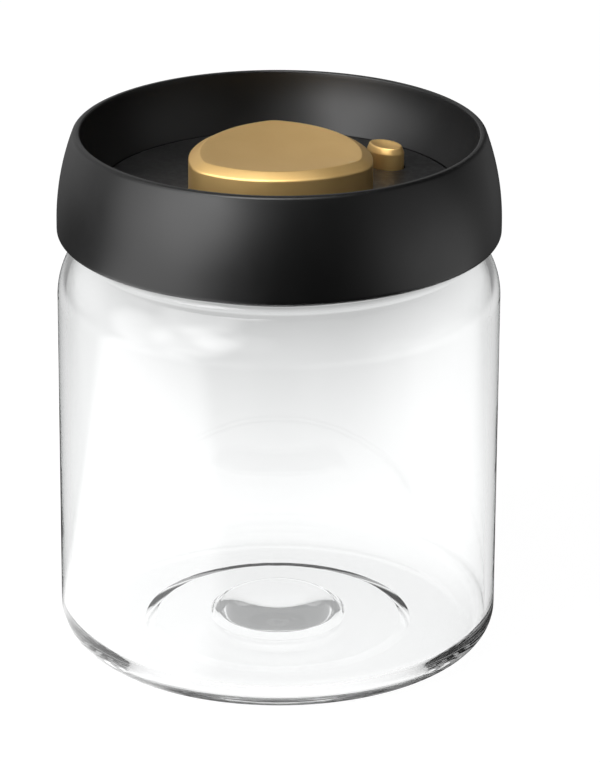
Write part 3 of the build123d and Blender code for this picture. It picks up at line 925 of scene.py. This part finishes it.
@dataclass
class Lid:
    """Lid ring, deck, inner lid and gasket with their screws."""

    radius: float = 52.5
    bottom: float = 101.5
    crest: float = 126.4
    bulge_corner: float = 115.57
    crest_radius: float = 48.45
    crest_round: float = 1.1
    rim: float = 46.9
    rim_round: float = 0.35
    foot_round: float = 1.5
    well_sag: float = 0.8
    pocket: float = 42.7
    deck: float = 112.4
    ledge_top: float = 110.6
    flange_top: float = 108.6
    ledge: float = 35.2
    cavity: float = 44.9
    cavity_top: float = 115.3
    cavity_lean: float = 0.87
    cavity_slope_foot: float = 109.3
    wall_inside: float = 50.3
    screw_circle: float = 38.4
    screw_count: int = 6
    screw_start: float = 4.5
    screw_hole: float = 1.35
    screw_sink: float = 2.5
    sink_floor: float = 109.3
    cut_beyond: float = 1.0
    gasket_inside: float = 43.0
    gasket_base: float = 44.0
    gasket_tip: float = 45.2
    gasket_foot: float = 100.7
    gasket_head: float = 105.6
    gasket_round: float = 0.2
    lip_count: int = 2
    lip_foot: float = 0.7
    lip_pitch: float = 2.5
    lip_rise: float = 0.9
    lip_tip: float = 0.5
    lip_root: float = 1.2
    lip_rounds: tuple[float, float, float, float] = (0.3, 0.15, 0.12, 0.12)

    def ring_section(self) -> list[Corner]:
        """Section of the lid ring, from its foot up the outside and back down inside.

        Returns:
            Its corners.
        """
        run, depth = self.rim - self.pocket, self.crest - self.deck
        span = hypot(run, depth)
        sag = 2 * self.well_sag
        well = (
            (self.rim + self.pocket) / 2 + sag * depth / span,
            (self.crest + self.deck) / 2 - sag * run / span,
        )
        return [
            Corner(self.wall_inside, self.bottom),
            Corner(self.radius, self.bottom, self.foot_round),
            Corner(self.radius, self.bulge_corner, FULL),
            Corner(self.crest_radius, self.crest, self.crest_round),
            Corner(self.rim, self.crest, self.rim_round),
            Corner(*well, FULL),
            Corner(self.pocket, self.deck),
            Corner(self.pocket, self.ledge_top),
            Corner(self.ledge, self.ledge_top),
            Corner(self.ledge, self.flange_top),
            Corner(self.cavity, self.flange_top),
            Corner(self.cavity, self.deck),
            Corner(self.cavity + self.cavity_lean, self.cavity_top),
            Corner(self.wall_inside - self.cavity_lean, self.cavity_top),
            Corner(self.wall_inside, self.cavity_slope_foot),
            Corner(self.wall_inside, self.bottom),
        ]

    def screw_cutters(self) -> list[Piece]:
        """Cutters of the screw holes and of the sinks above them.

        Returns:
            Closed meshes.
        """
        cutters = []
        for k in range(self.screw_count):
            turn = radians(self.screw_start) + TURN * k / self.screw_count
            x, y = self.screw_circle * MM * cos(turn), self.screw_circle * MM * sin(turn)
            for radius, low in (
                (self.screw_hole, self.flange_top - self.cut_beyond),
                (self.screw_sink, self.sink_floor),
            ):
                high = self.ledge_top + self.cut_beyond
                clear_selection()
                bpy.ops.mesh.primitive_cylinder_add(
                    vertices=HOLE_STEPS,
                    radius=radius * MM,
                    depth=(high - low) * MM,
                    location=(x, y, (high + low) / 2 * MM),
                )
                cutters.append(bpy.context.object)
        return cutters

    def gasket_section(self) -> list[Corner]:
        """Section of the gasket, a sleeve with two upturned lips.

        Returns:
            Its corners.
        """
        corners = [
            Corner(self.gasket_inside, self.gasket_foot),
            Corner(self.gasket_base, self.gasket_foot, self.gasket_round),
        ]
        below, lower, upper, above = self.lip_rounds
        for k in range(self.lip_count):
            root = self.gasket_foot + self.lip_foot + k * self.lip_pitch
            corners += [
                Corner(self.gasket_base, root, below),
                Corner(self.gasket_tip, root + self.lip_rise, lower),
                Corner(self.gasket_tip, root + self.lip_rise + self.lip_tip, upper),
                Corner(self.gasket_base, root + self.lip_root, above),
            ]
        corners += [
            Corner(self.gasket_base, self.gasket_head, self.gasket_round),
            Corner(self.gasket_inside, self.gasket_head),
            Corner(self.gasket_inside, self.gasket_foot),
        ]
        return corners

    def build(self, wardrobe: Wardrobe) -> None:
        """Builds the ring and the gasket and dresses the lid's other nodes.

        Args:
            wardrobe: Dresses the pieces.
        """
        ring = turn_section("ring", self.ring_section())
        cut_holes(ring, self.screw_cutters())
        wardrobe.stand_for(ring, "lid_ring", Body.LID, Slot.RING)
        gasket = turn_section("gasket", self.gasket_section())
        wardrobe.stand_for(gasket, "lid_gasket", Body.LID, Slot.SILICONE)
        wardrobe.keep(lid_deck=Slot.DECK, inner_lid=Slot.INNER, lid_screws=Slot.STEEL)


@dataclass(frozen=True)
class Cap:
    """Rounded bevel and dish that finish the top of a push button, in millimetres.

    The first fall is the share of the dish that the line just past the bevel goes down by.
    """

    bevel_width: float
    bevel_height: float
    bevel_round: float
    dish: float
    rings: int = 16
    first_fall: float = 0.1

    def bevel_steps(self, wall_foot: float, crown: float) -> list[tuple[float, float]]:
        """Steps inwards and upwards from the wall's foot over the bevel.

        Args:
            wall_foot: Level where the wall starts.
            crown: Level of the rim round the dish.

        Returns:
            Way in and way up of each step.
        """
        beyond = self.bevel_width + 2 * self.bevel_round
        corners = [
            Corner(0, wall_foot),
            Corner(0, crown - self.bevel_height, self.bevel_round),
            Corner(self.bevel_width, crown, self.bevel_round),
            Corner(beyond, crown - self.first_fall * self.dish),
        ]
        points = [Vector((0, wall_foot))]
        for stroke in strokes_through(corners):
            points.append(Vector(stroke.to))
            if stroke.angle:
                centre = Vector(stroke.centre)
                arm = Vector(stroke.to) - centre
                count = arc_steps(stroke.radius * MM, stroke.angle)
                points += [
                    centre + Matrix.Rotation(stroke.angle * k / count, 2) @ arm for k in range(1, count + 1)
                ]
        return [(b.x - a.x, b.y - a.y) for a, b in zip(points[:-1], points[1:-1])]

    def shape(self, wall_foot: float, crown: float, centre: tuple[float, float]) -> None:
        """Raises the wall from the selected face, bevels it and hollows the top.

        Args:
            wall_foot: Level of the selected face.
            crown: Level of the rim round the dish.
            centre: The dish's middle.
        """
        for way_in, way_up in self.bevel_steps(wall_foot, crown):
            if way_in * MM < MERGE:
                extrude(way_up)
            else:
                bpy.ops.mesh.inset(thickness=way_in * MM, depth=way_up * MM)
        middle = Vector((centre[0] * MM, centre[1] * MM, crown * MM))
        for k in range(1, self.rings):
            before, now = 1 - (k - 1) / self.rings, 1 - k / self.rings
            fall = self.dish * (before**2 - now**2)
            extrude(-fall)
            bpy.ops.transform.resize(value=(now / before, now / before, 1), center_override=middle)
        bpy.ops.mesh.merge(type="CENTER")


@dataclass
class Pump:
    """Three-cornered pump button with its piston, cylinder, valves and spring."""

    corner_circle: float = 16.1
    corner_bend: float = 7.3
    side_bend: float = 28.5
    turn: float = 94.5
    lip: float = 1.2
    lip_bottom: float = 109.1
    crown: float = 122.3
    cap: Cap = Cap(bevel_width=2.7, bevel_height=1.5, bevel_round=0.7, dish=0.9)
    wall: float = 1.6
    ceiling: float = 119.5
    boss: float = 4.0
    boss_foot: float = 117.4
    pilot: float = 0.8
    spring: Coil = Coil("pump_coil", radius=5.5, wire=0.45, bottom=101.4, top=115.8, turns=6)
    stroke: float = 6.0
    outline_coarseness: float = 4.0  # against other arcs
    outline_merge: float = 10 * MERGE  # in metres, as MERGE is

    def outline(self, outset: float, level: float) -> Piece:
        """Draws the button's outline as one face.

        Args:
            outset: How far it lies outside the button's side.
            level: Its height.

        Returns:
            The object, in edit mode with the face selected.
        """
        half = self.corner_circle * sin(radians(SIXTH))
        middle = self.corner_circle * cos(radians(SIXTH))
        side_centre = sqrt((self.side_bend - self.corner_bend) ** 2 - half**2) - middle
        corner = self.corner_bend + outset

        def spoke(angle: float, reach: float) -> Vector:
            """Point at an angle in degrees and a reach from the axis."""
            return Vector((reach * cos(radians(angle)), reach * sin(radians(angle))))

        arcs = []
        for k in range(3):
            turn = self.turn + THIRD * k
            here, following = spoke(turn, self.corner_circle), spoke(turn + THIRD, self.corner_circle)
            before, behind = spoke(turn - SIXTH, -side_centre), spoke(turn + SIXTH, -side_centre)
            start = here + (here - before).normalized() * corner
            end = here + (here - behind).normalized() * corner
            last = following + (following - behind).normalized() * corner
            arcs.append((here, start, end))
            arcs.append((behind, end, last))
        first = arcs[0][1]
        piece = start_point("pump_cap", Vector((first.x * MM, first.y * MM, level * MM)))
        for centre, start, end in arcs:
            angle = (start - centre).angle_signed(end - centre)
            bpy.ops.mesh.spin(
                steps=arc_steps((start - centre).length * MM / self.outline_coarseness, angle),
                angle=abs(angle),
                center=(centre.x * MM, centre.y * MM, level * MM),
                axis=(0, 0, -1),
            )
        merge_doubles(self.outline_merge)
        bpy.ops.mesh.edge_face_add()
        return piece

    def hollow(self) -> None:
        """Hollows the button from below and leaves a screw boss under its top."""
        choose_underside(self.lip_bottom)
        bpy.ops.mesh.inset(thickness=(self.lip + self.wall) * MM, depth=0)
        extrude(self.ceiling - self.lip_bottom)
        middle = (0, 0, self.ceiling * MM)
        bpy.ops.mesh.inset(thickness=self.wall * MM, depth=0)
        bpy.ops.transform.tosphere(value=1.0, center_override=middle)
        vertices = bmesh.from_edit_mesh(bpy.context.edit_object.data).verts
        reach = max(vertex.co.xy.length for vertex in vertices if vertex.select)
        draw_in(self.boss * MM / reach, middle)
        extrude(self.boss_foot - self.ceiling)
        draw_in(self.pilot / self.boss, (0, 0, self.boss_foot * MM))
        extrude(self.ceiling - self.boss_foot)

    def build(self, wardrobe: Wardrobe) -> None:
        """Builds the button and the spring and dresses the pump's other nodes.

        Args:
            wardrobe: Dresses the pieces.
        """
        button = self.outline(self.lip, self.lip_bottom)
        extrude(self.lip)
        bpy.ops.mesh.inset(thickness=self.lip * MM, depth=0)
        self.cap.shape(self.lip_bottom + self.lip, self.crown, (0, 0))
        self.hollow()
        close_up(button)
        wardrobe.stand_for(button, "pump_button", Body.PUMP, Slot.GOLD)
        spring = self.spring.wind((0, 0))
        wardrobe.stand_for(spring, "pump_spring", Body.LID, Slot.STEEL)
        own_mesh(spring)
        wardrobe.keep(
            pump_cylinder=Slot.WHITE,
            cylinder_ring=Slot.SILICONE,
            intake_valve=Slot.SILICONE,
            intake_cover=Slot.INNER,
            cylinder_screws=Slot.STEEL,
            pump_piston=Slot.WHITE,
            piston_seal=Slot.SILICONE,
            exhaust_valve=Slot.SILICONE,
            button_screw=Slot.STEEL,
        )


@dataclass
class Release:
    """Small oval release button with its stem, seal and spring."""

    distance: float = 30.58
    angle: float = 34.5
    long: float = 5.1
    short: float = 3.6
    turn: float = -45.0
    bottom: float = 109.9
    foot: float = 0.5
    crown: float = 117.6
    cap: Cap = Cap(bevel_width=0.6, bevel_height=1.5, bevel_round=0.4, dish=0.6, rings=10)
    socket: float = 2.0
    socket_depth: float = 4.6
    spring: Coil = Coil("release_coil", radius=2.65, wire=0.3, bottom=102.4, top=bottom, turns=6)
    stroke: float = 2.5
    outline_steps: int = 96

    def build(self, wardrobe: Wardrobe) -> None:
        """Builds the button and the spring and dresses the valve's other nodes.

        Args:
            wardrobe: Dresses the pieces.
        """
        centre = (self.distance * cos(radians(self.angle)), self.distance * sin(radians(self.angle)))
        foot = (centre[0] * MM, centre[1] * MM, self.bottom * MM)
        clear_selection()
        bpy.ops.mesh.primitive_circle_add(
            vertices=self.outline_steps, radius=MM, fill_type="NGON", location=foot
        )
        button = bpy.context.object
        name_piece(button, "release_cap")
        bpy.ops.object.transform_apply(location=True)
        bpy.ops.object.mode_set(mode="EDIT")
        bpy.ops.transform.resize(value=(self.long, self.short, 1), center_override=foot)
        bpy.ops.transform.rotate(value=-radians(self.turn), orient_axis="Z", center_override=foot)
        extrude(self.foot)
        self.cap.shape(self.bottom + self.foot, self.crown, centre)
        choose_underside(self.bottom)
        draw_in(self.socket / self.short, foot)
        bpy.ops.transform.tosphere(value=1.0, center_override=foot)
        extrude(self.socket_depth)
        close_up(button)
        wardrobe.stand_for(button, "release_button", Body.RELEASE, Slot.GOLD)
        spring = self.spring.wind(centre)
        wardrobe.stand_for(spring, "release_spring", Body.LID, Slot.STEEL)
        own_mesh(spring)
        wardrobe.keep(release_stem=Slot.WHITE, release_seal=Slot.SILICONE)


# The studio


def toward(bearing: float, elevation: float) -> Vector:
    """Direction at a bearing from the front, positive to the right, and an elevation, in degrees."""
    turn, rise = radians(bearing), radians(elevation)
    return Vector((sin(turn) * cos(rise), -cos(turn) * cos(rise), sin(rise)))


@dataclass(frozen=True)
class Softbox:
    """A rectangular area lamp aimed at the canister, which doesn't show in reflections."""

    name: str
    bearing: float
    elevation: float
    distance: float
    width: float
    height: float
    radiance: float

    def hang(self, target: Vector) -> None:
        """Adds the lamp.

        Args:
            target: The point that it faces.
        """
        way = toward(self.bearing, self.elevation)
        turn = way.to_track_quat("Z", "Y").to_euler()
        bpy.ops.object.light_add(type="AREA", location=target + way * self.distance, rotation=turn)
        lamp = bpy.context.object
        lamp.name = self.name
        lamp.data.shape = "RECTANGLE"
        lamp.data.size = self.width
        lamp.data.size_y = self.height
        lamp.data.energy = self.radiance * pi * self.width * self.height
        lamp.visible_glossy = False
        lamp.visible_transmission = False


@dataclass(frozen=True)
class Glow:
    """A soft round light that shows in reflections only, by direction in degrees.

    It is even over its core, a share of its reach, and fades to nothing at its reach.
    """

    bearing: float
    elevation: float
    reach: float
    radiance: float
    core: float = 0.35


@dataclass
class Studio:
    """White floor, reflected glows, softboxes and the camera at the photograph's angle.

    Lengths are metres, angles are degrees and the rest is brightness.
    """

    floor_size: float = 8.0
    floor_drop: float = 0.00005
    floor_white: float = 0.12
    floor_glow: float = 0.975
    around: float = 0.12
    sky: float = 1.0

    # Seen through glass: the floor near the jar, the painted shadow behind it, the floor beside it, and the
    # sky
    clear_near: float = 1.13
    painted_shadow_behind: float = 0.26
    clear_beside: float = 0.86
    clear_sky: float = 0.5
    near_reach: float = 0.03
    far_reach: float = 0.36
    dark_start: float = 0.3
    dark_end: float = 0.5
    strip_core: float = 0.08
    strip_edge: float = 0.32
    glass_bounces: int = 24

    # Seen in reflections
    dimmest: float = 0.06
    glow_eye: float = 0.1
    glows: tuple[Glow, ...] = (
        # high on the left
        Glow(-30, 70, 22, 11.0),
        Glow(-90, 50, 22, 1.5),
        Glow(-50, 40, 24, 4.0),
        # low on the left and in front
        Glow(-46, 9, 26, 4.5, 0.2),
        Glow(-34, 22, 20, 2.0),
        Glow(-31, 13, 15, 2.2),
        Glow(-14, 17, 16, 0.8),
        Glow(-76, 10, 24, 3.0),
        # the bright floor on the left
        Glow(-65, -38, 36, 1.9, 0.75),
        # the right side
        Glow(90, -20, 30, 0.9),
        Glow(60, -10, 20, 0.5),
        Glow(70, 14, 35, 0.45),
        # behind
        Glow(135, 5, 30, 0.25),
        Glow(-120, 8, 20, 0.5),
        Glow(-145, 24, 45, 0.55),
        Glow(180, 10, 20, 0.25),
    )

    # Lamps and camera
    target: Triple = (0, 0, 0.09)
    lamps: tuple[Softbox, ...] = (
        Softbox("key_softbox", -50, 30, 0.9, 0.5, 0.7, 9.0),
        Softbox("top_softbox", 0, 70, 0.9, 0.7, 0.45, 1.4),
        Softbox("right_softbox", 75, 30, 1.1, 0.5, 0.8, 0.3),
    )
    camera_place: Triple = (0.0051, -1.019, 0.458)
    camera_pitch: float = 68.84
    camera_roll: float = 0.32
    camera_lens: float = 215.9
    camera_reach: float = 100.0

    def reflected(self) -> Tree:
        """Group that gives how bright the surroundings look in a reflection, from a direction.

        Returns:
            The group.
        """
        wiring, come, result = new_group("reflected_glows", (), "Value")
        way = wiring.add("ShaderNodeVectorMath", {"operation": "NORMALIZE"}, Vector=come["Vector"]).outputs[0]
        total = self.dimmest
        for glow in self.glows:
            nearness = wiring.add("ShaderNodeVectorMath", {"operation": "DOT_PRODUCT"})
            wiring.feed(nearness.inputs[0], way)
            wiring.feed(nearness.inputs[1], toward(glow.bearing, glow.elevation))
            edge, core = cos(radians(glow.reach)), cos(radians(glow.reach * glow.core))
            light = wiring.spread(nearness.outputs["Value"], edge, core, 0.0, glow.radiance)
            total = wiring.sum("ADD", total, light)
        wiring.feed(result, total)
        return wiring.tree

    def build(self) -> None:
        """Builds the floor, the world, the lamps and the camera."""
        reflected = self.reflected()
        self.lay_floor(reflected)
        self.light_world(reflected)
        for lamp in self.lamps:
            lamp.hang(Vector(self.target))
        self.place_camera()
        scene = bpy.context.scene
        scene.view_settings.view_transform = "Standard"
        scene.cycles.max_bounces = self.glass_bounces
        scene.cycles.transmission_bounces = self.glass_bounces
        scene.cycles.glossy_bounces = self.glass_bounces

    def lay_floor(self, reflected: Tree) -> None:
        """Lays the white floor.

        Args:
            reflected: Group with the surroundings' brightness in reflections.
        """
        clear_selection()
        bpy.ops.mesh.primitive_plane_add(size=self.floor_size, location=(0, 0, -self.floor_drop))
        floor = bpy.context.object
        floor.name = "floor"
        material, wiring, shader = new_material("white_floor")
        material.node_tree.nodes.remove(shader)
        place = wiring.add("ShaderNodeTexCoord").outputs["Object"]
        way = wiring.add("ShaderNodeVectorMath", {"operation": "SUBTRACT"}, Vector=place)
        way.inputs[1].default_value = (0, 0, self.glow_eye)
        light = wiring.use(reflected, Vector=way.outputs[0])
        white = wiring.add("ShaderNodeBsdfDiffuse", Color=(self.floor_white,) * 3 + (1,)).outputs[0]
        glow = wiring.add("ShaderNodeEmission", Strength=self.floor_glow).outputs[0]
        shown = wiring.add("ShaderNodeAddShader")
        wiring.feed(shown.inputs[0], white)
        wiring.feed(shown.inputs[1], glow)
        mirrored = wiring.add("ShaderNodeEmission", Strength=light).outputs[0]
        clear = self.floor_through_glass(wiring, place)
        through = wiring.add("ShaderNodeEmission", Strength=clear).outputs[0]
        result = wiring.by_ray(white, mirrored, through, shown.outputs[0])
        wiring.feed(material.node_tree.nodes["Material Output"].inputs["Surface"], result)
        floor.data.materials.append(material)

    def floor_through_glass(self, wiring: Wiring, place: Socket) -> Socket:
        """Works out how bright the floor looks through glass.

        It is brightest at the jar and darkest in a strip straight behind it, which is a painted shadow of the
        canister on the floor.

        Args:
            wiring: Wiring of the floor's material.
            place: Socket with the place on the floor.

        Returns:
            The brightness's socket.
        """
        reach = wiring.add("ShaderNodeVectorMath", {"operation": "LENGTH"}, Vector=place).outputs["Value"]
        across = wiring.sum("ABSOLUTE", wiring.add("ShaderNodeSeparateXYZ", Vector=place).outputs["X"])
        slant = wiring.sum("DIVIDE", across, reach)
        # Painted shadow: a dark strip on the floor straight behind the jar, seen through the glass.
        beside = wiring.spread(reach, self.dark_start, self.dark_end, self.clear_beside, self.painted_shadow_behind)
        far = wiring.spread(slant, self.strip_core, self.strip_edge, self.painted_shadow_behind, beside)
        return wiring.spread(reach, self.near_reach, self.far_reach, self.clear_near, far)

    def light_world(self, reflected: Tree) -> None:
        """Makes the surroundings: white to the camera, dimmer through glass, glowing in reflections.

        Args:
            reflected: Group with the surroundings' brightness in reflections.
        """
        world = bpy.data.worlds.new("surroundings")
        bpy.context.scene.world = world
        world.use_nodes = True
        wiring = Wiring(world.node_tree)
        world.node_tree.nodes.remove(world.node_tree.nodes["Background"])
        way = wiring.add("ShaderNodeTexCoord").outputs["Generated"]
        levels = (self.around, wiring.use(reflected, Vector=way), self.clear_sky, self.sky)
        shaders = [wiring.add("ShaderNodeBackground", Strength=level).outputs[0] for level in levels]
        wiring.feed(world.node_tree.nodes["World Output"].inputs["Surface"], wiring.by_ray(*shaders))

    def place_camera(self) -> None:
        """Sets up the camera at the photograph's viewing angle."""
        pitch = Matrix.Rotation(radians(self.camera_pitch), 4, "X")
        roll = Matrix.Rotation(radians(self.camera_roll), 4, "Z")
        bpy.ops.object.camera_add(location=self.camera_place, rotation=(pitch @ roll).to_euler())
        camera = bpy.context.object
        camera.name = "photograph_camera"
        camera.data.lens = self.camera_lens
        camera.data.clip_end = self.camera_reach
        bpy.context.scene.camera = camera


def main() -> None:
    """Builds the canister round its frame."""
    logging.basicConfig(level=logging.INFO, format="%(name)s: %(message)s")
    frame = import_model()
    wardrobe = Wardrobe(frame["nodes"])
    Studio().build()
    for part in (Jar(), Lid(), Pump(), Release()):
        part.build(wardrobe)


if __name__ == "__main__":
    main()
